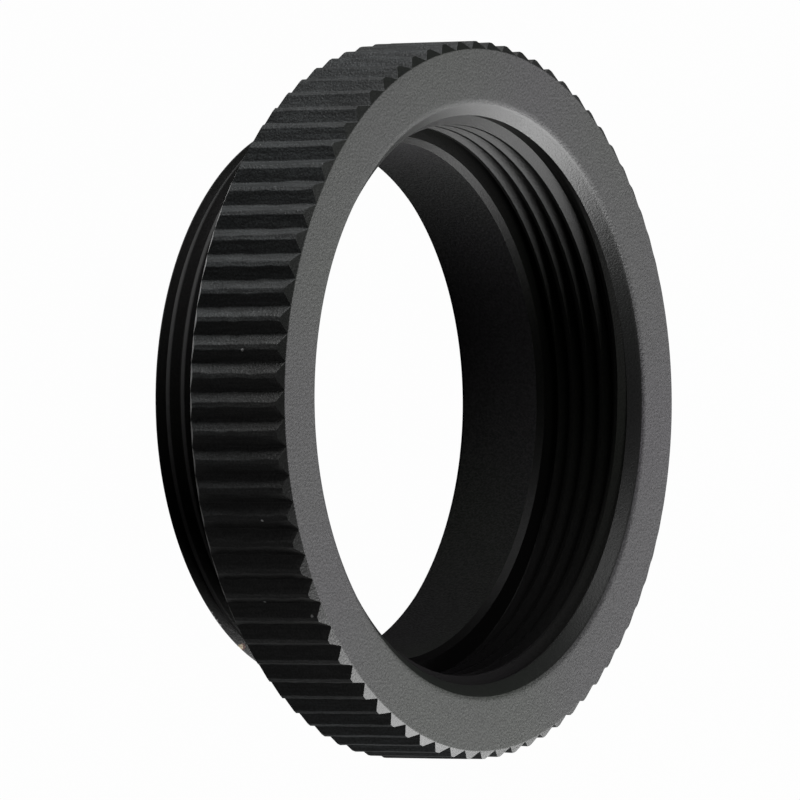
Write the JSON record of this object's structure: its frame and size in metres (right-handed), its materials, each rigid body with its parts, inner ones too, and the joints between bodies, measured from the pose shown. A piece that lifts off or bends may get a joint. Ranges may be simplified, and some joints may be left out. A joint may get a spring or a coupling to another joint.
{
  "type": "lens spacer ring",
  "caption": "Threaded spacer ring with a knurled band, a male thread on the camera side and a female thread with a ledge on the lens side.",
  "frame": {"origin": "on the ring's axis, at the end face of the camera thread, which the ring rests on", "axes": "+Z along the ring's axis, from the camera side to the lens side; a tooth of the knurl stands on +X"},
  "size_m": [0.032, 0.032, 0.009],
  "materials": {
    "black_anodised": "black anodised, satin with a fine grain"
  },
  "bodies": {
    "root": {"spacer_ring": "black_anodised"}
  },
  "joints": []
}
